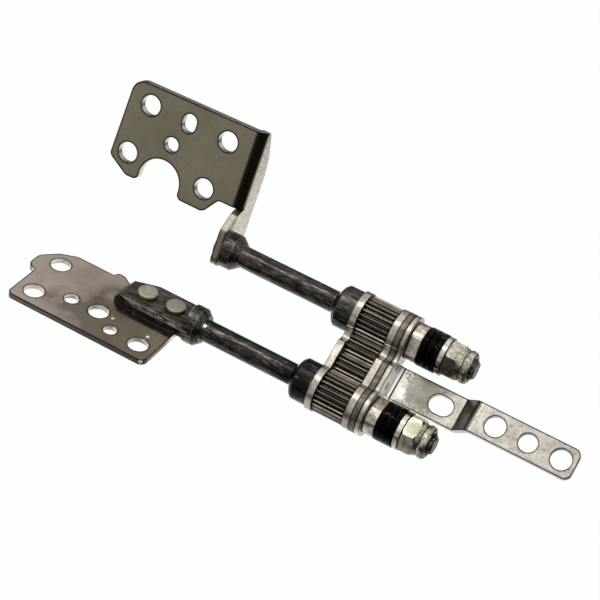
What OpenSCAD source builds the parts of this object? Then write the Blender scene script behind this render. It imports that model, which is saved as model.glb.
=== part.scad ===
// Twin-shaft geared hinge for a laptop that folds right round.
// Two parallel shafts run through one gearbox. Each carries a sheet bracket at its far end,
// a gear inside the gearbox and a stack of disc springs under a nut. Two idlers between
// the gears make both shafts turn together. A centre bracket is bent from the last plate.
// X runs along the shafts towards the nuts. The base bracket lies flat on the XY plane and
// the origin is midway between its two screw holes of the front row, on the underside.

/* [Hinge] */
// Distance between the two shaft axes
axis_gap = 12; // [11:0.1:14]
// Angle of the gearbox above the base bracket at rest
link_angle = 37; // [0:1:60]
// Distance from the front row of base holes to the base shaft axis
base_reach = 8.3; // [8:0.1:12]

/* [Sheet metal] */
// Thickness of the base bracket
base_sheet = 0.8; // [0.6:0.1:1.2]
// Thickness of the display bracket
display_sheet = 1.1; // [0.8:0.1:1.4]
// Thickness of the centre bracket
centre_sheet = 0.8; // [0.5:0.1:1]
// Diameter of the screw holes
screw_hole_d = 3; // [2.2:0.1:3.2]

/* [Base bracket] */
// Distance between the two holes of the front row
base_row_pitch = 17.5; // [14:0.1:20]
// Length of the flat part from its left edge to its right edge
base_length = 22.9; // [22.6:0.1:26]
// Distance from the front row of holes to the front edge
base_front_margin = 2.8; // [2.2:0.1:4]
// Distance from the shaft axis back to the rear edge
base_back_margin = 2.6; // [2:0.1:3]
// How far the hook reaches past the left edge
hook_reach = 1.5; // [0.5:0.1:2.5]
// Diameter of the locating hole between the screw holes
base_locating_d = 2.2; // [1.6:0.1:2.6]
// Diameter of the small hole near the right screw hole
base_small_d = 2; // [1.4:0.1:2.2]

/* [Display bracket] */
// Distance between the two holes of each row
display_row_pitch = 12.85; // [11.5:0.05:13.5]
// Distance from the shaft axis to the near row of holes
display_near_row = 6.65; // [6:0.05:8]
// Distance between the two rows of holes
display_row_gap = 7.95; // [7.5:0.05:9]
// How far the near row is set back towards the left
display_row_shift = 1.3; // [0.5:0.1:1.5]
// Distance from the far row of holes to the top edge
display_top_margin = 3.3; // [2.5:0.1:4]
// Radius of the round notch between the near holes
notch_r = 3.3; // [2.5:0.1:3.6]
// Outer radius of the fold
fold_r = 1.7; // [1.3:0.1:2.4]
// Distance from the shaft axis to the front edge of the flange
flange_front = 2.3; // [2.1:0.1:2.8]
// Distance from the shaft axis to the back edge of the flange
flange_back = 5.1; // [3.5:0.1:5.6]
// Distance from the shaft axis to the lower end of the flange
flange_low = 2.6; // [2.4:0.1:3.2]
// Diameter of the small round hole
display_small_d = 2.2; // [1.6:0.1:2.6]
// Width of the short upright slot
display_slot_w = 2.2; // [1.6:0.1:2.6]
// Length of the short upright slot
display_slot_l = 2.8; // [2.8:0.1:4]

/* [Shafts] */
// Diameter of the bare shafts
shaft_d = 3.2; // [3.1:0.1:3.6]
// Diameter of the shafts inside the gearbox
journal_d = 3; // [2.6:0.05:3.05]
// Distance across the two flats inside the gearbox
flat_width = 2.4; // [2:0.05:2.5]
// Length of bare shaft between base shoulder and collar
bare_length = 15.2; // [8:0.1:30]
// Diameter of the collars beside the gearbox
collar_d = 6.2; // [5:0.1:6.4]
// Length of the collars beside the gearbox
collar_length = 2.7; // [1.5:0.1:4]
// Diameter of the base shaft shoulder
base_shoulder_d = 5.7; // [5:0.1:6.2]
// Length of the base shaft shoulder
base_shoulder_length = 2.6; // [1.5:0.1:4]
// Diameter of the display shaft shoulder
display_shoulder_d = 5.3; // [4.8:0.1:5.8]
// Length of the display shaft shoulder
display_shoulder_length = 2.8; // [1.5:0.1:4]
// Width of the flat tongue on the base shaft
tongue_width = 6; // [4.8:0.1:6.2]
// Thickness of the flat tongue
tongue_sheet = 1.6; // [1.2:0.1:2.2]
// Length of the flat tongue
tongue_length = 11.4; // [10:0.1:11.8]
// Width of the slanted facet along the front of the tongue
tongue_facet = 0.6; // [0.4:0.1:0.8]
// Distance between the two tongue rivets
rivet_pitch = 4.7; // [4:0.1:5.2]
// Diameter of the rivet heads
rivet_head_d = 3.1; // [2.4:0.1:3.4]
// Distance of the rivets behind the shaft axis
rivet_setback = 0.4; // [0:0.1:0.6]
// Diameter of the rivet shanks
rivet_d = 1.8; // [1.4:0.1:2]

/* [Gearbox] */
// Number of teeth on each shaft gear
gear_teeth = 26; // [20:2:28]
// Number of teeth on each idler
idler_teeth = 13; // [10:1:14]
// Width of the gears along the shaft
gear_width = 4.7; // [3:0.1:8]
// Play between mating teeth
gear_backlash = 0.06; // [0.04:0.01:0.1]
// Thickness of each plate of the gearbox
plate_sheet = 1.05; // [0.8:0.05:1.4]
// Thickness of the friction plate
friction_sheet = 0.8; // [0.6:0.05:1.2]
// Radius of the plates around each shaft
plate_end_r = 3.4; // [3.3:0.05:3.7]
// Half height of the plates between the shafts
plate_waist = 2.1; // [2:0.05:2.6]
// Radius of the cut beside the upper eye of the plates
plate_notch_r = 1.15; // [0.8:0.05:1.3]
// Diameter of the idler pins
idler_pin_d = 1.2; // [1:0.05:1.3]

/* [Friction stacks] */
// Diameter of the cam discs
cam_d = 5.6; // [4.6:0.1:5.8]
// Thickness of the cam discs
cam_length = 1.7; // [1:0.1:2.5]
// Number of disc springs in each stack
spring_count = 6; // [2:2:8]
// Diameter of the disc springs
spring_d = 5.8; // [4.8:0.1:6]
// Thickness of one disc spring
spring_sheet = 0.36; // [0.2:0.02:0.5]
// Height of the cone of one disc spring
spring_cone = 0.12; // [0.05:0.01:0.2]
// Diameter of the washers
washer_d = 5.6; // [4.8:0.1:6]
// Thickness of the washers
washer_sheet = 0.8; // [0.4:0.1:1]
// Distance across the flats of the nuts
nut_width = 5; // [4.5:0.1:5.5]
// Length of the hexagonal part of the nuts
nut_hex_length = 2.6; // [2:0.1:3]
// Length of the round crown of the nuts
nut_crown_length = 1.25; // [1:0.05:1.8]
// Diameter of the round crown of the nuts
nut_crown_d = 4.9; // [4.4:0.1:5]
// Where the corners of the base nut stand
base_nut_turn = 28; // [0:1:59]
// Where the corners of the display nut stand
display_nut_turn = 6; // [0:1:59]

/* [Centre bracket] */
// Width of the inner part of the strip
strip_inner_width = 5; // [4:0.1:5.1]
// Width of the outer part of the strip
strip_outer_width = 4.6; // [4:0.1:5]
// Length of the inner part from the last plate to the step
strip_inner_length = 10.2; // [9:0.1:14]
// Length of the outer part
strip_outer_length = 14.9; // [14:0.1:20]
// Height of the step between the two parts
step_height = 3.1; // [2:0.1:4]
// Slope of the step
step_angle = 56; // [40:1:70]
// Distance between neighbouring strip holes
strip_hole_pitch = 4.95; // [4.4:0.05:5.2]
// Diameter of the two outer strip holes
strip_hole_d = 3; // [2.2:0.1:3.1]
// Diameter of the middle strip hole
strip_middle_d = 2.7; // [2:0.1:3]
// Width of the slot in the inner part
slot_width = 2.8; // [2:0.1:3.2]
// Length of the slot in the inner part
slot_length = 3.6; // [3.3:0.1:4.5]

/* [Fits] */
// Radial clearance of a turning fit
turning_fit = 0.03; // [0.02:0.01:0.05]
// Radial clearance of a fixed fit
fixed_fit = 0.01; // [0.01:0.005:0.02]
// Gap along the shaft between turning parts
side_gap = 0.1; // [0.05:0.01:0.15]
// Gap between the plates of the outer pack
plate_gap = 0.06; // [0.04:0.01:0.1]

/* [Hidden] */
$fn = 64;

nickel_warm = [0.50, 0.48, 0.43];
nickel_pale = [0.80, 0.78, 0.74];
nickel_brown = [0.62, 0.57, 0.53];
black_oxide = [0.10, 0.10, 0.10];
steel_grey = [0.56, 0.53, 0.49];

// Heights of the base shaft above the mounting plane
axis_z = base_sheet + tongue_sheet / 2;

// Stations along the shafts, each one the left face of the named piece
base_right = base_row_pitch / 2 + 2.65;
base_left = base_right - max(base_length, base_row_pitch + 5.1);
shoulder_x = base_right + 0.7;
flange_x = shoulder_x - display_sheet - 0.92;
display_shoulder_x = flange_x + display_sheet;
collar_x = shoulder_x + base_shoulder_length + bare_length;
inner_plate_x = collar_x + collar_length + side_gap;
gear_x = inner_plate_x + plate_sheet + side_gap;
outer_plate_x = gear_x + gear_width + side_gap;
friction_x = outer_plate_x + plate_sheet + plate_gap;
tab_x = friction_x + friction_sheet + plate_gap;
tab_face_x = tab_x + centre_sheet;
cam_x = tab_face_x + side_gap;
spring_x = cam_x + cam_length;
spring_pitch = spring_sheet + spring_cone;
washer_x = spring_x + spring_count * spring_pitch;
nut_x = washer_x + washer_sheet;
nut_end_x = nut_x + nut_hex_length + nut_crown_length;
shaft_end_x = nut_end_x + 0.6;

// Gear train
gear_module = axis_gap / (gear_teeth + 2 * idler_teeth);
gear_r = gear_module * gear_teeth / 2;
idler_r = gear_module * idler_teeth / 2;
lower_idler_y = gear_r + idler_r;
upper_idler_y = lower_idler_y + 2 * idler_r;
pressure_angle = 25;
flank_steps = 3;

// Frames: each places its children in the named piece's own frame, with X along the shafts
module on_base() translate([0, base_reach, axis_z]) children();
module on_link() on_base() rotate([link_angle, 0, 0]) children();
module on_display() on_link() translate([0, axis_gap, 0]) rotate([link_angle, 0, 0]) children();

// A flat outline in the YZ plane, drawn out along X
module along_x(x, length) translate([x, 0, 0]) rotate([90, 0, 90]) linear_extrude(length) children();

// A half section, with X along the shaft and Y as the radius, turned round the shaft
module turned()
    rotate([0, 90, 0]) rotate([0, 0, 90]) rotate_extrude($fn = 96) rotate(90) mirror([0, 1]) children();

// Points of an arc round a centre
function arc(centre, r, from, to, steps) =
    [for (i = [0:steps]) let(a = from + (to - from) * i / steps) centre + r * [cos(a), sin(a)]];

// Corner k of an outline, rounded to its radius. Each corner is [x, y, radius].
function unit(v) = v / norm(v);
function at(c) = [c[0], c[1]];
function rounded_corner(before, corner, after, steps) =
    let(p = at(corner), u = unit(at(before) - p), v = unit(at(after) - p),
        half = acos(max(-1, min(1, u * v))) / 2,
        reach = corner[2] / tan(half),
        centre = p + unit(u + v) * corner[2] / sin(half),
        start = p + u * reach - centre, end = p + v * reach - centre,
        a = atan2(start[1], start[0]), turn = atan2(end[1], end[0]) - a,
        sweep = turn > 180 ? turn - 360 : turn < -180 ? turn + 360 : turn)
    arc(centre, corner[2], a, a + sweep, steps);
function rounded(corners, steps = 6) =
    let(n = len(corners))
    [for (i = [0:n - 1])
        each corners[i][2] == 0 ? [at(corners[i])]
            : rounded_corner(corners[(i + n - 1) % n], corners[i], corners[(i + 1) % n], steps)];

// Involute tooth: half the angle that the tooth takes up at radius r
function involute(a) = tan(a) * 180 / PI - a;
function tooth_half(r, pitch_r, teeth) =
    90 / teeth - gear_backlash / 4 / pitch_r * 180 / PI
    + involute(pressure_angle) - involute(acos(min(1, pitch_r * cos(pressure_angle) / r)));
function gear_outline(teeth) =
    let(pitch_r = gear_module * teeth / 2,
        base_r = pitch_r * cos(pressure_angle),
        root_r = pitch_r - 1.2 * gear_module,
        tip_r = pitch_r + gear_module,
        start_r = max(base_r, root_r),
        radii = concat(root_r < start_r ? [root_r] : [],
            [for (i = [0:flank_steps]) start_r + (tip_r - start_r) * i / flank_steps]),
        halves = [for (r = radii) tooth_half(max(r, start_r), pitch_r, teeth)],
        last = len(radii) - 1)
    [for (k = [0:teeth - 1]) let(a = 360 * k / teeth)
        each concat(
            [for (i = [0:last]) radii[i] * [cos(a - halves[i]), sin(a - halves[i])]],
            [for (i = [last:-1:0]) radii[i] * [cos(a + halves[i]), sin(a + halves[i])]])];

// Section of a shaft inside the gearbox: round with two flats
module two_flat_section(d, across)
    intersection() {
        circle(d = d);
        square([d + 1, across], center = true);
    }

// Bore that keys a disc to a shaft
module keyed_bore() two_flat_section(journal_d + 2 * fixed_fit, flat_width + 2 * fixed_fit);

// Shaft from its collar to the nut end, the same on both shafts
module gearbox_shaft(start_x) {
    cone = (collar_d - shaft_d) / 4;
    translate([start_x, 0, 0]) rotate([0, 90, 0]) cylinder(d = shaft_d, h = collar_x - start_x + 0.5);
    turned() polygon([[collar_x - cone, 0], [collar_x - cone, shaft_d / 2], [collar_x, collar_d / 2 - 0.25],
        [collar_x + 0.35, collar_d / 2], [collar_x + collar_length, collar_d / 2],
        [collar_x + collar_length, 0]]);
    along_x(collar_x + collar_length, shaft_end_x - 0.3 - collar_x - collar_length)
        two_flat_section(journal_d, flat_width);
    along_x(shaft_end_x - 0.3, 0.3) two_flat_section(journal_d - 0.5, flat_width - 0.1);
}

// Shaft gear, with its teeth set so that they mesh at rest
module shaft_gear(tooth_turn)
    along_x(gear_x, gear_width) difference() {
        rotate(tooth_turn) polygon(gear_outline(gear_teeth));
        keyed_bore();
    }

// Idler gear on its pin
module idler_gear(y, tooth_turn)
    on_link() translate([0, y, 0]) along_x(gear_x, gear_width) difference() {
        rotate(tooth_turn) polygon(gear_outline(idler_teeth));
        circle(d = idler_pin_d + 2 * turning_fit);
    }

// Thick disc that turns with its shaft against the centre bracket
module cam_disc()
    along_x(cam_x, cam_length) difference() {
        intersection() {
            circle(d = cam_d);
            square([cam_d, cam_d - 0.7], center = true);
        }
        keyed_bore();
    }

// Coned disc springs, laid in pairs face to face
module disc_springs()
    for (i = [0:spring_count - 1]) {
        x = spring_x + i * spring_pitch;
        rim = i % 2 == 0 ? spring_cone : 0;
        bore = spring_cone - rim;
        gap = 0.004;
        turned() polygon([[x + bore + gap, journal_d / 2 + fixed_fit], [x + rim + gap, spring_d / 2],
            [x + rim + spring_sheet, spring_d / 2], [x + bore + spring_sheet, journal_d / 2 + fixed_fit]]);
    }

// Plain washer keyed to the flats
module washer()
    along_x(washer_x, washer_sheet) difference() {
        circle(d = washer_d);
        keyed_bore();
    }

// Hexagon nut with a round crown, its corners turned down and its bore opened at the end
module nut(turn) {
    crown_x = nut_x + nut_hex_length;
    crown_r = nut_crown_d / 2;
    difference() {
        union() {
            intersection() {
                along_x(nut_x, nut_hex_length) rotate(turn) circle(d = nut_width / cos(30), $fn = 6);
                turned() polygon([[nut_x, 0], [nut_x, nut_width / 2], [nut_x + 0.35, nut_width / 2 + 0.5],
                    [crown_x - 1, nut_width / 2 + 0.5], [crown_x - 0.5, nut_width / 2],
                    [crown_x, nut_width / 2 - 0.2], [crown_x, 0]]);
            }
            turned() polygon([[crown_x - 0.1, 0], [crown_x - 0.1, crown_r - 0.35],
                [crown_x + 0.12, crown_r - 0.1], [crown_x + 0.35, crown_r],
                [nut_end_x - 0.5, crown_r], [nut_end_x - 0.17, crown_r - 0.13],
                [nut_end_x, crown_r - 0.4], [nut_end_x, 0]]);
        }
        along_x(nut_x - 1, nut_end_x - nut_x + 2) circle(d = journal_d + 2 * fixed_fit);
        turned() polygon([[nut_end_x - 0.35, 0], [nut_end_x - 0.35, journal_d / 2],
            [nut_end_x, journal_d / 2 + 0.3], [nut_end_x + 0.1, journal_d / 2 + 0.3], [nut_end_x + 0.1, 0]]);
    }
}

// Outline of the gearbox plates: an eye round each shaft and a straight web with a waist
module plate_outline()
    difference() {
        union() {
            circle(r = plate_end_r);
            translate([axis_gap, 0]) circle(r = plate_end_r);
            translate([0, -plate_waist]) square([axis_gap, 2 * plate_waist]);
        }
        translate([axis_gap - plate_end_r - plate_notch_r / 2, plate_waist + 0.3 * plate_notch_r])
            circle(r = plate_notch_r);
    }

module plate_bores() {
    for (y = [0, axis_gap]) translate([y, 0]) circle(d = journal_d + 2 * turning_fit);
    for (y = [lower_idler_y, upper_idler_y]) translate([y, 0]) circle(d = idler_pin_d + 2 * fixed_fit);
}

module link_plate(x, sheet)
    on_link() along_x(x, sheet) difference() {
        plate_outline();
        plate_bores();
    }

// Base bracket: a flat plate with a hook at its outer end, measured from the shaft axis forwards
front = -(base_reach + base_front_margin);
module base_plate_outline()
    polygon(rounded([
        [base_left, front, 0.9], [base_right, front, 1.1], [base_right, base_back_margin, 0.6],
        [base_right - 11.1, base_back_margin, 0], [base_right - 12.3, base_back_margin + 0.8, 0.4],
        [base_right - 13.3, base_back_margin + 0.8, 0.3], [base_right - 13.7, base_back_margin, 0],
        [base_left + 3, base_back_margin, 1.5], [base_left + 0.6, base_back_margin - 1.2, 1.2],
        [base_left - hook_reach, -0.9, 1.6], [base_left - hook_reach, -4, 1.3],
        [base_left, -4, 0.3]]));

module base_bracket()
    color(nickel_brown) translate([0, base_reach, 0]) difference() {
        linear_extrude(base_sheet) base_plate_outline();
        for (side = [-1, 1]) translate([side * base_row_pitch / 2, -base_reach, -1])
            cylinder(d = screw_hole_d, h = 4);
        translate([-base_row_pitch / 2 - 0.55, -0.7, -1]) cylinder(d = screw_hole_d, h = 4);
        translate([0.65, -5.95, -1]) cylinder(d = screw_hole_d, h = 4);
        translate([-3.8, -6.15, -1]) cylinder(d = base_locating_d, h = 4);
        translate([4.1, -base_reach, -1]) cylinder(d = base_small_d, h = 4);
        for (x = rivet_stations) translate([x, rivet_setback, -1])
            cylinder(d = rivet_d + 2 * fixed_fit, h = 4);
    }

// Rivets through the tongue, with low round heads above and flush tails below
rivet_stations = [shoulder_x - 2.8 - rivet_pitch, shoulder_x - 2.8];
module base_rivets()
    color(nickel_warm) for (x = rivet_stations) translate([x, base_reach + rivet_setback, 0]) {
        cylinder(d = rivet_d, h = base_sheet + tongue_sheet + 0.1);
        translate([0, 0, base_sheet + tongue_sheet]) rotate_extrude($fn = 64)
            polygon(concat([[0, 0], [rivet_head_d / 2, 0]],
                arc([rivet_head_d / 2 - 0.3, 0.25], 0.3, 0, 90, 5), [[0, 0.58]]));
    }

// Flat tongue, pressed from the round shaft, with slanted facets along its front and its end
module tongue() {
    start = shoulder_x - tongue_length;
    end_slope = 50;
    front_slope = 38;
    end_facet = 1.6 * tongue_facet;
    difference() {
        translate([0, 0, -tongue_sheet / 2]) linear_extrude(tongue_sheet) polygon(rounded([
            [start, -tongue_width / 2 + 0.8, 0.3], [start + 3.8, -tongue_width / 2, 0],
            [shoulder_x + 1, -tongue_width / 2, 0], [shoulder_x + 1, tongue_width / 2, 0],
            [start + 4.4, tongue_width / 2, 2], [start, tongue_width / 2 - 1.7, 0.6]]));
        translate([start - 1, -tongue_width / 2 + tongue_facet, tongue_sheet / 2]) rotate([front_slope, 0, 0])
            translate([0, -tongue_width, 0]) cube([tongue_length + 3, tongue_width, tongue_sheet]);
        translate([start + end_facet, -tongue_width, tongue_sheet / 2]) rotate([0, -end_slope, 0])
            translate([-tongue_width, 0, 0]) cube([tongue_width, 2 * tongue_width, tongue_sheet]);
    }
}

// Base shaft: flat tongue, shoulder, bare shaft, collar and keyed end
module base_shaft()
    color(black_oxide) on_base() difference() {
        union() {
            tongue();
            turned() polygon([[shoulder_x, 0], [shoulder_x, base_shoulder_d / 2 - 0.2],
                [shoulder_x + 0.2, base_shoulder_d / 2],
                [shoulder_x + base_shoulder_length - 0.9, base_shoulder_d / 2],
                [shoulder_x + base_shoulder_length, shaft_d / 2 + 0.5],
                [shoulder_x + base_shoulder_length, 0]]);
            gearbox_shaft(shoulder_x + 1);
        }
        for (x = rivet_stations) translate([x, rivet_setback, -5])
            cylinder(d = rivet_d + 2 * fixed_fit, h = 10);
    }

module base_gear() color(steel_grey) on_base() shaft_gear(link_angle);
module base_cam_disc() color(nickel_pale) on_base() cam_disc();
module base_disc_springs() color(black_oxide) on_base() disc_springs();
module base_washer() color(nickel_pale) on_base() washer();
module base_nut() color(nickel_pale) on_base() nut(base_nut_turn);

module inner_link_plate() color(nickel_pale) link_plate(inner_plate_x, plate_sheet);
module outer_link_plate() color(nickel_pale) link_plate(outer_plate_x, plate_sheet);
module friction_plate() color(steel_grey) link_plate(friction_x, friction_sheet);

module idler_pins()
    color(steel_grey) on_link() for (y = [lower_idler_y, upper_idler_y])
        translate([inner_plate_x, y, 0]) rotate([0, 90, 0])
            cylinder(d = idler_pin_d, h = tab_face_x - inner_plate_x);

module lower_idler_gear()
    color(steel_grey) idler_gear(lower_idler_y, idler_teeth % 2 == 0 ? 180 / idler_teeth : 0);
module upper_idler_gear() color(steel_grey) idler_gear(upper_idler_y, 0);

// Centre bracket: the last plate of the gearbox, with a strip bent out from its lower edge
bend_r = 0.6;
step_bend_r = 0.9;
strip_z = -plate_waist;
strip_mid_z = strip_z - centre_sheet / 2;
step_slope = (step_height - 2 * step_bend_r * (1 - cos(step_angle))) / sin(step_angle);
step_run = 2 * step_bend_r * sin(step_angle) + step_slope * cos(step_angle);
step_x = tab_face_x + strip_inner_length;
strip_outer_x = step_x + step_run;
strip_end_x = strip_outer_x + strip_outer_length;
strip_hole_x = strip_end_x - 2.2;

// Side view of the bent sheet, h above the middle of its thickness
function strip_side(h) = concat(
    arc([tab_face_x + bend_r, strip_z + bend_r], bend_r + centre_sheet / 2 - h, 180, 270, 6),
    arc([step_x, strip_mid_z + step_bend_r], step_bend_r - h, 270, 270 + step_angle, 5),
    arc([strip_outer_x, strip_mid_z + step_height - step_bend_r], step_bend_r + h, 90 + step_angle, 90, 5),
    [[strip_end_x + 1, strip_mid_z + step_height + h]]);
function reversed(list) = [for (i = [len(list) - 1:-1:0]) list[i]];

// Plan view of the strip
module strip_plan() {
    inner = strip_inner_width / 2;
    outer = strip_outer_width / 2;
    polygon(rounded([
        [tab_x, -inner, 0], [step_x + 0.3, -inner, 0.6], [strip_outer_x, -outer, 0.6],
        [strip_end_x, -outer, 1.1], [strip_end_x, outer, 1.1], [strip_outer_x, outer, 0.6],
        [step_x + 0.3, inner, 0.6], [tab_x, inner, 0]]));
}

module centre_bracket()
    color(nickel_pale) on_link() difference() {
        union() {
            along_x(tab_x, centre_sheet) difference() {
                plate_outline();
                translate([axis_gap / 2 - strip_inner_width / 2 - 0.3, -plate_waist - 1])
                    square([strip_inner_width + 0.6, 1 + bend_r]);
                plate_bores();
            }
            intersection() {
                translate([0, axis_gap / 2 + strip_inner_width, 0]) rotate([90, 0, 0])
                    linear_extrude(2 * strip_inner_width)
                    polygon(concat(strip_side(-centre_sheet / 2), reversed(strip_side(centre_sheet / 2))));
                translate([0, axis_gap / 2, -6]) linear_extrude(12) strip_plan();
            }
        }
        for (i = [0, 2]) translate([strip_hole_x - i * strip_hole_pitch, axis_gap / 2, -4])
            cylinder(d = strip_hole_d, h = 8);
        translate([strip_hole_x - strip_hole_pitch, axis_gap / 2, -4]) cylinder(d = strip_middle_d, h = 8);
        for (x = [-1, 1]) translate([step_x - 2.7 + x * (slot_length - slot_width) / 2, axis_gap / 2, -6])
            cylinder(d = slot_width, h = 5);
        translate([step_x - 2.7 - (slot_length - slot_width) / 2, (axis_gap - slot_width) / 2, -6])
            cube([slot_length - slot_width, slot_width, 5]);
    }

// Display bracket, measured from the shaft axis up the plate
display_far_row = display_near_row + display_row_gap;
display_top = display_far_row + display_top_margin;
display_right_hole = display_shoulder_x - 5;
display_left_hole = display_right_hole - display_row_pitch;
fold_bottom = 6;
fold_x = display_shoulder_x - fold_r;
near_left = display_left_hole - display_row_shift;
near_right = display_right_hole - display_row_shift;
notch_x = (near_left + near_right) / 2 - 0.5;
notch_height = display_near_row - 2;
lobe_end = display_near_row - 3.25;
module display_plate_outline()
    difference() {
        polygon(rounded([
            [near_left - 2.65, display_near_row - 1.4, 1], [near_left + 0.7, lobe_end - 0.1, 1.4],
            [notch_x - notch_r, lobe_end, 0.8], [notch_x - notch_r, notch_height, 0],
            [notch_x + notch_r, notch_height, 0], [notch_x + notch_r, lobe_end, 0.9],
            [near_right + 0.9, lobe_end, 1.2], [near_right + 2.7, fold_bottom, 1],
            [fold_x, fold_bottom, 0], [fold_x, display_top, 0], [near_left - 2.2, display_top - 0.4, 2]]));
        translate([notch_x, notch_height]) circle(r = notch_r);
    }

// Outline of the flange in the plane across the shaft
module display_flange_outline()
    polygon(rounded([
        [-flange_low, flange_front, 1.4], [3, flange_front, 1], [fold_bottom - 0.8, 0.1, 0.5],
        [fold_bottom, -fold_r, 0], [display_top, -fold_r, 0], [display_top - 0.4, -fold_r - 0.6, 0.2],
        [display_near_row + 6.8, 0.6 - flange_back, 2], [display_near_row + 4, -flange_back, 2],
        [1, -flange_back, 1.5], [-flange_low, -flange_low, 1.6]]));

module display_bracket()
    color(nickel_warm) on_display() difference() {
        union() {
            translate([0, 0, -display_sheet]) linear_extrude(display_sheet) display_plate_outline();
            translate([fold_x, fold_bottom, -fold_r]) rotate([-90, 0, 0])
                rotate_extrude(angle = -90) translate([fold_r - display_sheet, 0])
                square([display_sheet, display_top - fold_bottom]);
            along_x(flange_x, display_sheet) display_flange_outline();
        }
        for (x = [display_left_hole, display_right_hole]) translate([x, display_far_row, -4])
            cylinder(d = screw_hole_d, h = 8);
        for (x = [near_left, near_right]) translate([x, display_near_row, -4])
            cylinder(d = screw_hole_d, h = 8);
        translate([(display_left_hole + display_right_hole) / 2 - 1.6, display_near_row + 3.9, -4])
            cylinder(d = display_small_d, h = 8);
        for (s = [-1, 1]) translate([(display_left_hole + display_right_hole) / 2,
            display_far_row + s * (display_slot_l - display_slot_w) / 2, -4])
            cylinder(d = display_slot_w, h = 8);
        translate([(display_left_hole + display_right_hole - display_slot_w) / 2,
            display_far_row - (display_slot_l - display_slot_w) / 2, -4])
            cube([display_slot_w, display_slot_l - display_slot_w, 8]);
        along_x(flange_x - 1, display_sheet + 2) keyed_bore();
    }

// Display shaft: peened end through the flange, shoulder, bare shaft, collar and keyed end
module display_shaft()
    color(black_oxide) on_display() {
        turned() polygon([[flange_x - 0.45, 0], [flange_x - 0.45, journal_d / 2 - 0.1],
            [flange_x - 0.2, journal_d / 2 + 0.45], [flange_x, journal_d / 2 + 0.45], [flange_x, 0]]);
        along_x(flange_x - 0.1, display_sheet + 0.2) two_flat_section(journal_d, flat_width);
        turned() polygon([[display_shoulder_x, 0], [display_shoulder_x, display_shoulder_d / 2],
            [display_shoulder_x + display_shoulder_length - 1.2, display_shoulder_d / 2],
            [display_shoulder_x + display_shoulder_length - 0.1, shaft_d / 2 + 0.2],
            [display_shoulder_x + display_shoulder_length, 0]]);
        gearbox_shaft(display_shoulder_x + 1);
    }

module display_gear() color(steel_grey) on_display() shaft_gear(180 / gear_teeth - link_angle);
module display_cam_disc() color(nickel_pale) on_display() cam_disc();
module display_disc_springs() color(black_oxide) on_display() disc_springs();
module display_washer() color(nickel_pale) on_display() washer();
module display_nut() color(nickel_pale) on_display() nut(display_nut_turn);

base_bracket();
base_rivets();
base_shaft();
base_gear();
base_cam_disc();
base_disc_springs();
base_washer();
base_nut();
inner_link_plate();
outer_link_plate();
friction_plate();
centre_bracket();
idler_pins();
lower_idler_gear();
upper_idler_gear();
display_bracket();
display_shaft();
display_gear();
display_cam_disc();
display_disc_springs();
display_washer();
display_nut();
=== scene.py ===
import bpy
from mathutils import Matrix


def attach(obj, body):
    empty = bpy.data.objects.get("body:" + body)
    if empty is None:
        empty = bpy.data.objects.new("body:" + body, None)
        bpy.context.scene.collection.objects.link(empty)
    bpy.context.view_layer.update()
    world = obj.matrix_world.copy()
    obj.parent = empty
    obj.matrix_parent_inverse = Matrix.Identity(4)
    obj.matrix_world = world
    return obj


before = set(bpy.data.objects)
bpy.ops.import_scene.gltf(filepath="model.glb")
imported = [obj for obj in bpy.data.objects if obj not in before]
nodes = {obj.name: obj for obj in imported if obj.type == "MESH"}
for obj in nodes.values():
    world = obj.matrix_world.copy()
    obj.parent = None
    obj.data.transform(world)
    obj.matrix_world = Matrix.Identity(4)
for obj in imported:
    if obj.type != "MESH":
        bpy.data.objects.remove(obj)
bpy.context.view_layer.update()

import math
import bpy
import numpy as np
from mathutils import Matrix, Vector

mm = 0.001
print("solids loaded:", len(nodes))


def linear(hexText):
    # sRGB to linear light: c / 12.92 below 0.04045, else ((c + 0.055) / 1.055) to the power 2.4
    parts = [int(hexText[i:i + 2], 16) / 255 for i in (1, 3, 5)]
    return tuple(c / 12.92 if c <= 0.04045 else ((c + 0.055) / 1.055) ** 2.4 for c in parts) + (1.0,)


def addNode(tree, kind, settings=None, links=None):
    # makes one node, gives it its settings (its own attributes or its inputs) and links its inputs
    made = tree.nodes.new(kind)
    for key, value in (settings or {}).items():
        if isinstance(key, str) and hasattr(made, key):
            setattr(made, key, value)
        else:
            made.inputs[key].default_value = value
    for key, socket in (links or {}).items():
        tree.links.new(socket, made.inputs[key])
    return made


def addObject(name, data):
    # puts a mesh, lamp or lens into the scene as an object at the origin
    made = bpy.data.objects.new(name, data)
    bpy.context.scene.collection.objects.link(made)
    return made


def newMaterial(name):
    # a material with an empty node tree
    made = bpy.data.materials.new(name)
    made.use_nodes = True
    made.node_tree.nodes.clear()
    return made


# How every metal finish cuts its marks out of its noises: a band is where a mark starts and where it is full.
pattern = {
    "blotchDetail": 5.0, "blotchRoughness": 0.62, "blotchBand": (0.38, 0.64),
    "lineDetail": 6.0, "lineRoughness": 0.7, "lineAlong": (1, 14, 14), "shineBand": (0.3, 0.7),
    "grainDetail": 3.0, "streakBand": (0.5, 0.66), "speckBand": (0.56, 0.68),
    "roundSamples": 4, "rimSamples": 8, "rimBand": (0.999, 0.975),
    "cutStainBand": (0.45, 0.6), "outerSamples": 12, "outerReach": 3.2 * mm, "outerBand": (0.84, 0.96),
    "nookSamples": 6, "bumpDepth": 0.02 * mm}


def patchAt(x, y, z, reach, soft, colour, amount, speckled=False):
    # one patch of another colour, with its middle and its reach given in millimetres
    return {"middle": (x * mm, y * mm, z * mm), "reach": reach * mm, "soft": soft, "colour": colour,
            "amount": amount, "speckled": speckled}


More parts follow.
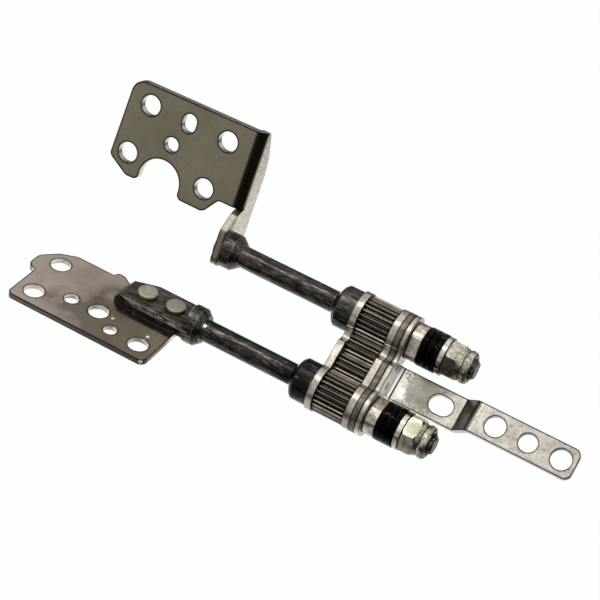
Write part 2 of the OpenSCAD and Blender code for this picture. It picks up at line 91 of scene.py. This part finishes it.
def addPatches(tree, colour, patches, place, blotch, grain):
    # Each patch is full near its middle and fades over the soft share of its reach. The blotches, or the finer
    # grain where it is speckled, are added to the distance from the middle, which frays its outline.
    for patch in patches:
        reach = patch["reach"]
        gap = addNode(tree, "ShaderNodeVectorMath", {"operation": "DISTANCE", 1: patch["middle"]},
                      {0: place}).outputs["Value"]
        frayed = addNode(tree, "ShaderNodeMath", {"operation": "MULTIPLY_ADD", 1: reach * 2},
                         {0: grain if patch["speckled"] else blotch, 2: gap}).outputs[0]
        mask = addNode(tree, "ShaderNodeMapRange",
                       {"From Min": reach * (2 - patch["soft"]), "From Max": reach * 2,
                        "To Min": patch["amount"], "To Max": 0.0}, {"Value": frayed}).outputs[0]
        colour = addNode(tree, "ShaderNodeMix", {"data_type": "RGBA", 7: linear(patch["colour"])},
                         {0: mask, 6: colour}).outputs[2]
    return colour


def addPaintedRims(tree, colour, look, blotch):
    # Near an edge the normal averaged over rimReach turns away from the face's own, and the rim colour takes over as
    # the cosine between the two falls: dark rims are painted shade, light ones painted highlights. Where a break
    # band is given, the blotches break the rims up.
    facing = addNode(tree, "ShaderNodeNewGeometry").outputs["Normal"]
    wide = addNode(tree, "ShaderNodeBevel",
                   {"samples": pattern["rimSamples"], "Radius": look["rimReach"]}).outputs[0]
    sameWay = addNode(tree, "ShaderNodeVectorMath", {"operation": "DOT_PRODUCT"},
                      {0: wide, 1: facing}).outputs["Value"]
    mask = addNode(tree, "ShaderNodeMapRange",
                   {"From Min": pattern["rimBand"][0], "From Max": pattern["rimBand"][1],
                    "To Max": look["edgeAmount"]}, {"Value": sameWay}).outputs[0]
    if "edgeWorn" in look:
        unbroken = addNode(tree, "ShaderNodeMapRange",
                       {"From Min": look["edgeWorn"][0], "From Max": look["edgeWorn"][1]},
                       {"Value": blotch}).outputs[0]
        mask = addNode(tree, "ShaderNodeMath", {"operation": "MULTIPLY"}, {0: mask, 1: unbroken}).outputs[0]
    return addNode(tree, "ShaderNodeMix", {"data_type": "RGBA", 7: linear(look["edge"])},
                   {0: mask, 6: colour}).outputs[2]


def addCutLight(tree, colour, look, normal, lines):
    # The sheared edges of a sheet are the faces square to cutAlong, so their mask grows as the size of the dot
    # product falls. They take a lighter tone, a painted highlight. Hairlines mix their two tones, and on the sheet's
    # outside, where nothing stands close by, painted shade makes them darker than in its holes.
    side = addNode(tree, "ShaderNodeVectorMath", {"operation": "DOT_PRODUCT", 1: look["cutAlong"]},
                   {0: normal}).outputs["Value"]
    away = addNode(tree, "ShaderNodeMath", {"operation": "ABSOLUTE"}, {0: side}).outputs[0]
    cutMask = addNode(tree, "ShaderNodeMapRange",
                      {"From Min": look["cutFrom"][0], "From Max": look["cutFrom"][1],
                       "To Max": look["cutAmount"]}, {"Value": away}).outputs[0]
    stain = addNode(tree, "ShaderNodeMapRange",
                    {"From Min": pattern["cutStainBand"][0], "From Max": pattern["cutStainBand"][1]},
                    {"Value": lines}).outputs[0]
    tone = addNode(tree, "ShaderNodeMix",
                   {"data_type": "RGBA", 6: linear(look["cut"]), 7: linear(look["cutStain"])},
                   {0: stain}).outputs[2]
    if "cutOuter" in look:
        free = addNode(tree, "ShaderNodeAmbientOcclusion",
                       {"samples": pattern["outerSamples"], "Distance": pattern["outerReach"]}).outputs["AO"]
        outer = addNode(tree, "ShaderNodeMapRange",
                        {"From Min": pattern["outerBand"][0], "From Max": pattern["outerBand"][1]},
                        {"Value": free}).outputs[0]
        tone = addNode(tree, "ShaderNodeMix", {"data_type": "RGBA", 7: linear(look["cutOuter"])},
                       {0: outer, 6: tone}).outputs[2]
    colour = addNode(tree, "ShaderNodeMix", {"data_type": "RGBA"}, {0: cutMask, 6: colour, 7: tone}).outputs[2]
    return colour, cutMask


def addBendShade(tree, colour, look, normal, cutMask):
    # A fold gets painted shade, standing for the dark reflection on its curve, where its face is part of the way
    # round
    # towards bendAlong: the mask rises over bendFrom and falls again over bendTo, both of the dot product, and the
    # sheared edges are left out of it.
    slope = addNode(tree, "ShaderNodeVectorMath", {"operation": "DOT_PRODUCT", 1: look["bendAlong"]},
                    {0: normal}).outputs["Value"]
    rise = addNode(tree, "ShaderNodeMapRange",
                   {"From Min": look["bendFrom"][0], "From Max": look["bendFrom"][1],
                    "To Max": look["bendAmount"]}, {"Value": slope}).outputs[0]
    fall = addNode(tree, "ShaderNodeMapRange",
                   {"From Min": look["bendTo"][0], "From Max": look["bendTo"][1], "To Min": 1.0, "To Max": 0.0},
                   {"Value": slope}).outputs[0]
    band = addNode(tree, "ShaderNodeMath", {"operation": "MULTIPLY"}, {0: rise, 1: fall}).outputs[0]
    uncut = addNode(tree, "ShaderNodeMath", {"operation": "SUBTRACT", 0: 1.0}, {1: cutMask}).outputs[0]
    mask = addNode(tree, "ShaderNodeMath", {"operation": "MULTIPLY"}, {0: band, 1: uncut}).outputs[0]
    return addNode(tree, "ShaderNodeMix", {"data_type": "RGBA", 7: linear(look["bendShade"])},
                   {0: mask, 6: colour}).outputs[2]


def metalFinish(name, look):
    # A bare or plated metal. Its colour wanders between base and stain in blotches of blotchSize. Over it come, in
    # this order: drifts of another tone, some of them painted light and shade, streaks along the hairlines, specks
    # in the grain, rims painted in the edge colour, sheared edges painted lighter, painted shade on folds, patches,
    # a painted shade line across X, and painted shade in nooks closer than nookReach. The shine varies with the
    # hairlines, which run along lineAlong, and hairlines and grain roughen edges rounded by edgeRadius.
    made = newMaterial(name)
    tree = made.node_tree
    space = addNode(tree, "ShaderNodeTexCoord").outputs
    place = space["Object"]
    turned = addNode(tree, "ShaderNodeMapping", {"Rotation": look.get("turn", (0, 0, 0))},
                     {"Vector": place}).outputs[0]

    blotch = addNode(tree, "ShaderNodeTexNoise",
                     {"Scale": 1 / look["blotchSize"], "Detail": pattern["blotchDetail"],
                      "Roughness": pattern["blotchRoughness"]}, {"Vector": turned}).outputs[0]
    blotchMask = addNode(tree, "ShaderNodeMapRange",
                         {"From Min": pattern["blotchBand"][0], "From Max": pattern["blotchBand"][1]},
                         {"Value": blotch}).outputs[0]
    colour = addNode(tree, "ShaderNodeMix",
                     {"data_type": "RGBA", 6: linear(look["base"]), 7: linear(look["stain"])},
                     {0: blotchMask}).outputs[2]

    lineSpace = addNode(tree, "ShaderNodeMapping", {"Scale": look.get("lineAlong", pattern["lineAlong"])},
                        {"Vector": turned}).outputs[0]
    lines = addNode(tree, "ShaderNodeTexNoise",
                    {"Scale": 1 / look["lineLength"], "Detail": pattern["lineDetail"],
                     "Roughness": pattern["lineRoughness"]}, {"Vector": lineSpace}).outputs[0]
    grain = addNode(tree, "ShaderNodeTexNoise",
                    {"Scale": 1 / look["grainSize"], "Detail": pattern["grainDetail"]},
                    {"Vector": place}).outputs[0]

    colour = addPatches(tree, colour, look.get("drifts", []), place, blotch, grain)
    for mark, noise in (("streak", lines), ("speck", grain)):
        if mark in look:
            low, high = pattern[mark + "Band"]
            mask = addNode(tree, "ShaderNodeMapRange",
                           {"From Min": low, "From Max": high, "To Max": look[mark + "Amount"]},
                           {"Value": noise}).outputs[0]
            colour = addNode(tree, "ShaderNodeMix", {"data_type": "RGBA", 7: linear(look[mark])},
                             {0: mask, 6: colour}).outputs[2]

    colour = addPaintedRims(tree, colour, look, blotch)
    if "cut" in look:
        colour, cutMask = addCutLight(tree, colour, look, space["Normal"], lines)
        if "bendShade" in look:
            colour = addBendShade(tree, colour, look, space["Normal"], cutMask)
    colour = addPatches(tree, colour, look.get("patches", []), place, blotch, grain)

    # painted shade: a dark line across X along the inside of the strip's bend
    if "creaseShade" in look:
        across = addNode(tree, "ShaderNodeSeparateXYZ", links={0: place}).outputs[0]
        onLine = addNode(tree, "ShaderNodeMath",
                         {"operation": "COMPARE", 1: look["creaseAt"], 2: look["creaseHalf"]},
                         {0: across}).outputs[0]
        colour = addNode(tree, "ShaderNodeMix", {"data_type": "RGBA", 7: linear(look["creaseShade"])},
                         {0: onLine, 6: colour}).outputs[2]

    # painted shade: darker where ambient occlusion finds surfaces closer than nookReach
    if "nookShade" in look:
        openness = addNode(tree, "ShaderNodeAmbientOcclusion",
                           {"samples": pattern["nookSamples"], "Distance": look["nookReach"]}).outputs["AO"]
        nookShadeMask = addNode(tree, "ShaderNodeMapRange",
                           {"From Min": look["nookFrom"][0], "From Max": look["nookFrom"][1],
                            "To Min": look["nookAmount"], "To Max": 0.0}, {"Value": openness}).outputs[0]
        colour = addNode(tree, "ShaderNodeMix", {"data_type": "RGBA", 7: linear(look["nookShade"])},
                         {0: nookShadeMask, 6: colour}).outputs[2]

    shine = addNode(tree, "ShaderNodeMapRange",
                    {"From Min": pattern["shineBand"][0], "From Max": pattern["shineBand"][1],
                     "To Min": look["roughness"][0], "To Max": look["roughness"][1]}, {"Value": lines}).outputs[0]
    relief = addNode(tree, "ShaderNodeBevel",
                     {"samples": pattern["roundSamples"], "Radius": look["edgeRadius"]}).outputs[0]
    for strength, height in ((look["lineStrength"], lines), (look["grainStrength"], grain)):
        relief = addNode(tree, "ShaderNodeBump", {"Strength": strength, "Distance": pattern["bumpDepth"]},
                         {"Height": height, "Normal": relief}).outputs[0]
    shader = addNode(tree, "ShaderNodeBsdfPrincipled", {"Metallic": 1.0},
                     {"Base Color": colour, "Roughness": shine, "Normal": relief}).outputs[0]
    addNode(tree, "ShaderNodeOutputMaterial", links={"Surface": shader})
    return made


def dress(material, *names):
    # puts one finish on whole pieces
    for name in names:
        mesh = nodes[name].data
        mesh.materials.clear()
        mesh.materials.append(material)


# satin nickel plate over pressed steel: calm warm grey that takes a soft reflection, with painted dark outlines
# along its edges, painted light on its sheared edges and flange, and painted shade on its fold
displayBracket = {
    "base": "#a79e88", "stain": "#9a917b", "blotchSize": 7 * mm,
    "edge": "#14110c", "edgeAmount": 1.0, "edgeRadius": 0.14 * mm, "rimReach": 0.5 * mm,
    "grainSize": 0.2 * mm, "grainStrength": 0.12, "speck": "#7f796b", "speckAmount": 0.45,
    "lineLength": 6 * mm, "lineStrength": 0.1, "lineAlong": (1, 12, 12), "roughness": (0.26, 0.34),
    "cut": "#e2decf", "cutStain": "#b9b4a6", "cutAlong": (0, -0.9613, 0.2756), "cutFrom": (0.2, 0.04),
    "cutAmount": 0.95,
    "bendShade": "#2a2017", "bendAlong": (1, 0, 0), "bendFrom": (0.12, 0.3), "bendTo": (0.93, 0.985),
    "bendAmount": 0.92,
    "patches": [patchAt(10.3, 18.2, 13.3, 2.0, 0.3, "#77766a", 0.75),  # greyer part of the flange's sheared edge
                patchAt(12.1, 22.6, 26.4, 0.9, 0.6, "#4a443a", 0.7),  # darker spot near the flange's top corner
                patchAt(10.6, 19.5, 14.4, 0.35, 0.4, "#f7f2e6", 0.9)]}  # painted highlight: bright spot under the fold
dress(metalFinish("satinNickelPlate", displayBracket), "display_bracket")

# nickel plate with handling scratches: browner, with fine lines, painted dark outlines, painted light in its holes
# and painted shade on its outer sheared edges
baseBracket = {
    "base": "#b8aa9e", "stain": "#9c8f83", "blotchSize": 9 * mm, "turn": (0, 0, 0.5),
    "edge": "#120f0c", "edgeAmount": 1.0, "edgeRadius": 0.14 * mm, "rimReach": 0.42 * mm,
    "grainSize": 0.16 * mm, "grainStrength": 0.15,
    "lineLength": 5 * mm, "lineStrength": 0.25, "lineAlong": (9, 1, 9), "roughness": (0.14, 0.24),
    "cut": "#f4ebe1", "cutStain": "#a89e93", "cutOuter": "#4b453d", "cutAlong": (0, 0, 1), "cutFrom": (0.5, 0.2),
    "cutAmount": 0.8,
    "drifts": [patchAt(10, 0, 0.8, 16.4, 0.3, "#756e67", 1.0),  # painted shade: the right half darker and browner
               patchAt(0.4, 6.5, 0.8, 1.6, 0.9, "#d8d0c6", 0.3)],  # painted highlight on a raised area beside the tongue
    "patches": [patchAt(3, 2.4, 0.8, 0.32, 0.5, "#fff9f0", 0.9),  # two bright nicks beside holes
                patchAt(8.9, 2.3, 0.8, 0.3, 0.5, "#fff9f0", 0.9),
                patchAt(10.9, -2.7, 0.5, 0.35, 0.5, "#fff9f0", 0.9)]}  # painted highlight on a corner
dress(metalFinish("scratchedNickelPlate", baseBracket), "base_bracket")

# barrel plated nickel: pale, slightly mottled, with painted dark outlines, painted shade in its nooks, bend and
# crease, and painted light on its side faces and tab
centreStrip = {
    "base": "#d2ccc0", "stain": "#b0a99c", "blotchSize": 1.6 * mm,
    "edge": "#1f1b16", "edgeAmount": 0.95, "edgeRadius": 0.13 * mm, "rimReach": 0.38 * mm,
    "grainSize": 0.4 * mm, "grainStrength": 0.35, "speck": "#7d7567", "speckAmount": 0.5,
    "lineLength": 3 * mm, "lineStrength": 0.15, "roughness": (0.24, 0.36),
    "nookShade": "#0f0c0a", "nookReach": 0.25 * mm, "nookFrom": (0.3, 0.7), "nookAmount": 0.9,
    "cut": "#faf6ee", "cutStain": "#cfc9be", "cutAlong": (0, -0.6018, 0.7986), "cutFrom": (0.45, 0.2),
    "cutAmount": 1.0,
    "creaseShade": "#14100c", "creaseAt": 42.05 * mm, "creaseHalf": 0.11 * mm,
    "bendShade": "#2b241e", "bendAlong": (-1, 0, 0), "bendFrom": (0.2, 0.5), "bendTo": (0.93, 0.98),
    "bendAmount": 0.85,
    "drifts": [patchAt(42.6, 14.6, 3.8, 3.6, 0.4, "#fffcf4", 0.9),  # painted light beside the crease, where the nut and spring stacks shade the strip
               patchAt(45.7, 14.8, 3.9, 3.7, 0.35, "#77766a", 0.85, speckled=True)],  # grey stain
    "patches": [patchAt(41.6, 13.5, 3.7, 2.4, 0.4, "#fffdf8", 0.9)]}  # painted highlight on the bend at the gearbox
dress(metalFinish("barrelNickelPlate", centreStrip), "centre_bracket")

# bright nickel on the blanked link plates: clean faces, with painted shade where they meet the gears and painted
# dark outlines
linkPlates = {
    "base": "#d5cfc3", "stain": "#a39a8b", "blotchSize": 1.2 * mm,
    "edge": "#2b2721", "edgeAmount": 0.9, "edgeRadius": 0.11 * mm, "rimReach": 0.18 * mm,
    "grainSize": 0.18 * mm, "grainStrength": 0.3, "speck": "#5f574b", "speckAmount": 0.5,
    "lineLength": 2 * mm, "lineStrength": 0.25, "roughness": (0.22, 0.34),
    "nookShade": "#0d0a08", "nookReach": 0.35 * mm, "nookFrom": (0.35, 0.75), "nookAmount": 0.95}
dress(metalFinish("brightNickelPlate", linkPlates), "inner_link_plate", "outer_link_plate")

# nickel plated cam discs and washers: silver with brown oil and painted shade in their corners, and painted dark
# outlines
camFaces = {
    "base": "#fbf5ea", "stain": "#a8927f", "blotchSize": 1 * mm,
    "edge": "#2a211b", "edgeAmount": 0.85, "edgeRadius": 0.14 * mm, "rimReach": 0.24 * mm,
    "grainSize": 0.18 * mm, "grainStrength": 0.3, "speck": "#4b3d33", "speckAmount": 0.5,
    "lineLength": 2 * mm, "lineStrength": 0.25, "roughness": (0.13, 0.24),
    "nookShade": "#1d100b", "nookReach": 0.8 * mm, "nookFrom": (0.45, 0.9), "nookAmount": 0.85}
dress(metalFinish("oiledNickelPlate", camFaces), "base_cam_disc", "display_cam_disc", "base_washer",
      "display_washer")

# nickel plated nuts: yellowish facets with painted highlights on their corners, painted shade in their nooks and
# dark brown speckles round the crown
nutFaces = {
    "base": "#dfdac9", "stain": "#8f8870", "blotchSize": 1.2 * mm,
    "edge": "#fbf6e6", "edgeAmount": 0.7, "edgeRadius": 0.12 * mm, "rimReach": 0.2 * mm,
    "grainSize": 0.16 * mm, "grainStrength": 0.2, "speck": "#7a715c", "speckAmount": 0.4,
    "lineLength": 2 * mm, "lineStrength": 0.2, "roughness": (0.13, 0.22),
    "nookShade": "#0b0907", "nookReach": 0.5 * mm, "nookFrom": (0.35, 0.8), "nookAmount": 0.95,
    "patches": [patchAt(48.2, 7.05, 3.8, 1.2, 0.3, "#94937b", 0.9),  # painted shade: green grey top facet of the base nut, toned down where the lamp lights it
                patchAt(49.5, 17.9, 8.8, 2.5, 0.15, "#4a3a31", 0.8, speckled=True),  # dark brown speckles round the crown of the display nut
                patchAt(49.5, 8.3, 1.6, 2.5, 0.15, "#4a3a31", 0.8, speckled=True)]}  # dark brown speckles round the crown of the base nut
dress(metalFinish("yellowedNickelNut", nutFaces), "base_nut", "display_nut")

# hardened and oiled gear steel: warm grey, with painted shade in the gaps and painted highlights on the tooth edges
gearTeeth = {
    "base": "#a0968a", "stain": "#80766b", "blotchSize": 1.5 * mm,
    "edge": "#c9c0b2", "edgeAmount": 0.35, "edgeRadius": 0.03 * mm, "rimReach": 0.04 * mm,
    "grainSize": 0.1 * mm, "grainStrength": 0.2,
    "lineLength": 1.5 * mm, "lineStrength": 0.3, "roughness": (0.3, 0.42),
    "nookShade": "#050303", "nookReach": 0.5 * mm, "nookFrom": (0.5, 0.97), "nookAmount": 1.0}
dress(metalFinish("oiledGearSteel", gearTeeth), "base_gear", "display_gear", "lower_idler_gear",
      "upper_idler_gear", "idler_pins")

# bare steel friction sheet: dull and dark with oil, with painted shade in its nooks and painted dark outlines
frictionSheet = {
    "base": "#8c8478", "stain": "#5f574c", "blotchSize": 0.8 * mm,
    "edge": "#1a1612", "edgeAmount": 0.9, "edgeRadius": 0.08 * mm, "rimReach": 0.14 * mm,
    "grainSize": 0.14 * mm, "grainStrength": 0.35, "speck": "#2b2620", "speckAmount": 0.6,
    "lineLength": 1.5 * mm, "lineStrength": 0.3, "roughness": (0.35, 0.5),
    "nookShade": "#0a0807", "nookReach": 0.4 * mm, "nookFrom": (0.35, 0.8), "nookAmount": 0.95}
dress(metalFinish("oiledFrictionSteel", frictionSheet), "friction_plate")

# black oxide over turned steel: nearly black, with grey streaks of light along it and painted highlights on its
# edges
shafts = {
    "base": "#373330", "stain": "#1f1c1b", "blotchSize": 2.5 * mm,
    "edge": "#a39e95", "edgeAmount": 0.5, "edgeRadius": 0.12 * mm, "rimReach": 0.16 * mm,
    "grainSize": 0.14 * mm, "grainStrength": 0.2, "speck": "#77726a", "speckAmount": 0.45,
    "streak": "#a8a39b", "streakAmount": 0.5,
    "lineLength": 2 * mm, "lineStrength": 0.5, "lineAlong": (1, 9, 9), "roughness": (0.17, 0.3),
    "drifts": [patchAt(13.4, 17.9, 8.8, 4.2, 0.5, "#4c4140", 0.8),  # rubbed shoulder at the display bracket
               patchAt(6.5, 8.7, 5.6, 4.6, 0.5, "#5a554e", 0.7)],  # painted sheen: the tongue lighter
    "patches": [patchAt(31.3, 8.3, 1.6, 4, 0.15, "#1f1d1b", 0.85),  # painted shade: the base shaft's collar darker
                patchAt(14.7, 7.4, 3.0, 0.36, 0.5, "#ffffff", 1.0)]}  # painted highlight at the base shaft's shoulder
dress(metalFinish("blackOxideSteel", shafts), "base_shaft", "display_shaft")

# black spring steel under grease: wet, with sharp painted glints on the discs' rims, broken up in blotches
discSprings = {
    "base": "#0a0909", "stain": "#131211", "blotchSize": 1.1 * mm,
    "edge": "#c4c0b8", "edgeAmount": 0.5, "edgeRadius": 0.08 * mm, "rimReach": 0.12 * mm, "edgeWorn": (0.6, 0.66),
    "grainSize": 0.12 * mm, "grainStrength": 0.1,
    "lineLength": 1 * mm, "lineStrength": 0.2, "roughness": (0.1, 0.2)}
dress(metalFinish("greasedSpringSteel", discSprings), "base_disc_springs", "display_disc_springs")

# rivet steel after peening: dull grey beige, with painted dark outlines on its edges
rivetHeads = {
    "base": "#c0b9ac", "stain": "#a49c8e", "blotchSize": 1 * mm,
    "edge": "#5d5548", "edgeAmount": 0.5, "edgeRadius": 0.1 * mm, "rimReach": 0.18 * mm,
    "grainSize": 0.16 * mm, "grainStrength": 0.3,
    "lineLength": 1 * mm, "lineStrength": 0.2, "roughness": (0.34, 0.46),
    "patches": [patchAt(9.3, 8.7, 3.5, 3.2, 0.1, "#9d9586", 0.8)]}  # darker second rivet
dress(metalFinish("peenedRivetSteel", rivetHeads), "base_rivets")
print("finishes made")


def makeThread(name, rider, look):
    # A rolled thread on a shaft end, a ring closed on itself. Its outer radius follows a cosine that advances one
    # pitch a turn, is cut off by the two flats, and falls away to the inner radius at both ends.
    turns = np.linspace(0, 2 * math.pi, look["around"], endpoint=False)
    along = np.linspace(look["from"], look["to"], look["rows"])
    wave = np.cos(2 * math.pi * (along[:, None] / look["pitch"]) - turns[None, :])
    crest = look["root"] + look["depth"] * (0.5 + 0.5 * wave)
    fade = np.clip(np.minimum(along - look["from"], look["to"] - along) / look["fade"], 0, 1)[:, None]
    outer = look["inner"] + (crest - look["inner"]) * fade
    leastSine = 1e-6  # keeps the flat's polar radius finite
    outer = np.minimum(outer, look["flat"] / 2 / np.maximum(np.abs(np.sin(turns)), leastSine)[None, :])
    radius = np.concatenate([outer, np.full_like(outer, look["inner"])[::-1]])
    station = np.concatenate([along, along[::-1]])
    tilt = math.radians(look["tilt"])
    y = look["axis"][0] + radius * np.cos(turns + tilt)
    z = look["axis"][1] + radius * np.sin(turns + tilt)
    points = np.stack([np.repeat(station[:, None], look["around"], 1), y, z], axis=2).reshape(-1, 3)
    rows, count = len(station), look["around"]
    row, column = np.meshgrid(np.arange(rows), np.arange(count), indexing="ij")
    nextRow, nextColumn = (row + 1) % rows, (column + 1) % count
    quads = np.stack([row * count + column, row * count + nextColumn, nextRow * count + nextColumn,
                      nextRow * count + column], axis=2).reshape(-1, 4)
    mesh = bpy.data.meshes.new(name)
    mesh.from_pydata(points.tolist(), [], quads.tolist())
    mesh.polygons.foreach_set("use_smooth", np.ones(len(quads), dtype=bool))
    mesh.materials.append(look["material"])
    made = addObject(name, mesh)
    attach(made, rider)


# axis is the shaft's y and z, and tilt is how far its flats are turned from the horizontal, in degrees
baseThread = {"from": 50.45 * mm, "to": 51.1 * mm, "rows": 40, "around": 96, "root": 1.49 * mm,
              "depth": 0.09 * mm, "inner": 1.3 * mm, "pitch": 0.28 * mm, "flat": 2.42 * mm, "fade": 0.12 * mm,
              "axis": (8.3 * mm, 1.6 * mm), "tilt": 0, "material": nodes["base_shaft"].data.materials[0]}
displayThread = dict(baseThread, axis=(17.8836 * mm, 8.8218 * mm), tilt=74)
makeThread("baseShaftThread", "base", baseThread)
makeThread("displayShaftThread", "display", displayThread)
print("threads made")


# The front, side and back lobes are soft panels for the metal to reflect: where each is aimed, how bright it is,
# and the cosines at which it starts and is full. The front one goes on in the floor, over frontFloor metres ahead.
studio = {"floorLevel": -28 * mm, "floorRadius": 0.4, "floorPoints": 96, "paperGrey": (0.9, 0.9, 0.9, 1),
          "paperGlow": 0.97, "glowMiddle": (-0.05, 0.06, 0), "glowReach": (0.09, 0.15), "glowFar": 0.02,
          "frontAim": (-0.28, -0.955, -0.09), "frontLevel": 0.46, "frontFloor": (0.13, 0.22),
          "frontSky": (0.72, 0.93),
          "sideAim": (0.85, 0.1, 0.5), "sideLevel": 0.8, "sideSky": (0.75, 0.92),
          "backAim": (0.3, 0.95, -0.05), "backLevel": 0.7, "backSky": (0.86, 0.96),
          "horizon": 0.05, "top": 0.95, "topFrom": 0.75, "white": (1, 1, 1, 1),
          "lampPlace": (-0.13, -0.07, 0.48), "lampAim": (0.03, 0.01, 0), "lampSize": 0.14, "lampPower": 0.28}


def makeFloor(look):
    # A flat disc: a ring of points round its middle. It is white paper to the camera. In metal it glows white near
    # the object and fades with the distance from there, or rises to frontLevel ahead, whichever is more.
    angle = np.linspace(0, 2 * math.pi, look["floorPoints"], endpoint=False)
    rim = np.stack([look["floorRadius"] * np.cos(angle), look["floorRadius"] * np.sin(angle),
                    np.full(look["floorPoints"], look["floorLevel"])], axis=1)
    mesh = bpy.data.meshes.new("studioFloor")
    mesh.from_pydata(rim.tolist(), [], [list(range(look["floorPoints"]))])
    made = addObject("studioFloor", mesh)
    paper = newMaterial("whitePaper")
    tree = paper.node_tree
    ray = addNode(tree, "ShaderNodeLightPath").outputs
    seen = addNode(tree, "ShaderNodeMath", {"operation": "ADD"},
                   {0: ray["Is Camera Ray"], 1: ray["Is Glossy Ray"]}).outputs[0]
    shown = addNode(tree, "ShaderNodeMath", {"operation": "ADD"},
                    {0: seen, 1: ray["Is Transmission Ray"]}).outputs[0]
    share = addNode(tree, "ShaderNodeMath", {"operation": "MULTIPLY", 1: look["paperGlow"]},
                    {0: shown}).outputs[0]
    spot = addNode(tree, "ShaderNodeTexCoord").outputs["Object"]
    away = addNode(tree, "ShaderNodeVectorMath", {"operation": "DISTANCE", 1: look["glowMiddle"]},
                   {0: spot}).outputs["Value"]
    near = addNode(tree, "ShaderNodeMapRange",
                   {"From Min": look["glowReach"][0], "From Max": look["glowReach"][1], "To Min": 1.0,
                    "To Max": look["glowFar"]}, {"Value": away}).outputs[0]
    ahead = addNode(tree, "ShaderNodeVectorMath", {"operation": "DOT_PRODUCT", 1: look["frontAim"]},
                    {0: spot}).outputs["Value"]
    front = addNode(tree, "ShaderNodeMapRange",
                    {"From Min": look["frontFloor"][0], "From Max": look["frontFloor"][1],
                     "To Max": look["frontLevel"]}, {"Value": ahead}).outputs[0]
    glow = addNode(tree, "ShaderNodeMath", {"operation": "MAXIMUM"}, {0: near, 1: front}).outputs[0]
    lit = addNode(tree, "ShaderNodeMath", {"operation": "MAXIMUM"},
                  {0: glow, 1: ray["Is Camera Ray"]}).outputs[0]
    matt = addNode(tree, "ShaderNodeBsdfDiffuse", {"Color": look["paperGrey"]}).outputs[0]
    white = addNode(tree, "ShaderNodeEmission", {"Color": look["white"]}, {"Strength": lit}).outputs[0]
    both = addNode(tree, "ShaderNodeMixShader", links={0: share, 1: matt, 2: white}).outputs[0]
    addNode(tree, "ShaderNodeOutputMaterial", links={"Surface": both})
    mesh.materials.append(paper)
    return made


def makeWorld(look):
    # Light from every side: it rises from the horizon to the top with the height of the direction, and each lobe
    # adds its panel where that is brighter. To the camera the world is plain white.
    world = bpy.data.worlds.new("softStudio")
    world.use_nodes = True
    tree = world.node_tree
    tree.nodes.clear()
    aim = addNode(tree, "ShaderNodeTexCoord").outputs["Generated"]
    up = addNode(tree, "ShaderNodeSeparateXYZ", links={0: aim}).outputs[2]
    level = addNode(tree, "ShaderNodeMapRange",
                    {"From Min": 0.0, "From Max": look["topFrom"], "To Min": look["horizon"],
                     "To Max": look["top"]}, {"Value": up}).outputs[0]
    for lobe in ("front", "side", "back"):
        toward = addNode(tree, "ShaderNodeVectorMath", {"operation": "DOT_PRODUCT", 1: look[lobe + "Aim"]},
                         {0: aim}).outputs["Value"]
        low, high = look[lobe + "Sky"]
        panel = addNode(tree, "ShaderNodeMapRange",
                        {"From Min": low, "From Max": high, "To Max": look[lobe + "Level"]},
                        {"Value": toward}).outputs[0]
        level = addNode(tree, "ShaderNodeMath", {"operation": "MAXIMUM"}, {0: level, 1: panel}).outputs[0]
    room = addNode(tree, "ShaderNodeBackground", {"Color": look["white"]}, {"Strength": level}).outputs[0]
    white = addNode(tree, "ShaderNodeBackground", {"Color": look["white"], "Strength": 1.0}).outputs[0]
    ray = addNode(tree, "ShaderNodeLightPath").outputs
    seen = addNode(tree, "ShaderNodeMath", {"operation": "ADD"},
                   {0: ray["Is Camera Ray"], 1: ray["Is Transmission Ray"]}).outputs[0]
    both = addNode(tree, "ShaderNodeMixShader", links={0: seen, 1: room, 2: white}).outputs[0]
    addNode(tree, "ShaderNodeOutputWorld", links={0: both})
    bpy.context.scene.world = world


def makeLamp(look):
    # a square soft box: its own Z looks back along the line from the aim to the lamp
    lamp = bpy.data.lights.new("softBox", "AREA")
    lamp.size = look["lampSize"]
    lamp.energy = look["lampPower"]
    made = addObject("softBox", lamp)
    made.location = look["lampPlace"]
    back = Vector(look["lampPlace"]) - Vector(look["lampAim"])
    made.rotation_euler = back.to_track_quat("Z", "Y").to_euler()


# the photograph's view, solved from the places of the holes and edges: right, up and back are the camera's own axes
photoView = {"place": (0.10176, -0.19360, 0.17529), "right": (0.86112, 0.47076, 0.19203),
             "up": (-0.42654, 0.46339, 0.77675), "back": (0.27667, -0.75078, 0.59983), "lens": 119.303,
             "sensor": 36.0, "nearest": 0.01, "farthest": 10.0}


def makeCamera(view):
    # the camera's matrix has its three axes and its place as columns
    lens = bpy.data.cameras.new("photoCamera")
    lens.sensor_width = view["sensor"]
    lens.lens = view["lens"]
    lens.clip_start = view["nearest"]
    lens.clip_end = view["farthest"]
    made = addObject("photoCamera", lens)
    made.matrix_world = Matrix([*zip(view["right"], view["up"], view["back"], view["place"]), (0, 0, 0, 1)])
    bpy.context.scene.camera = made


makeFloor(studio)
makeWorld(studio)
makeLamp(studio)
makeCamera(photoView)
bpy.context.scene.view_settings.view_transform = "Standard"
print("studio made")
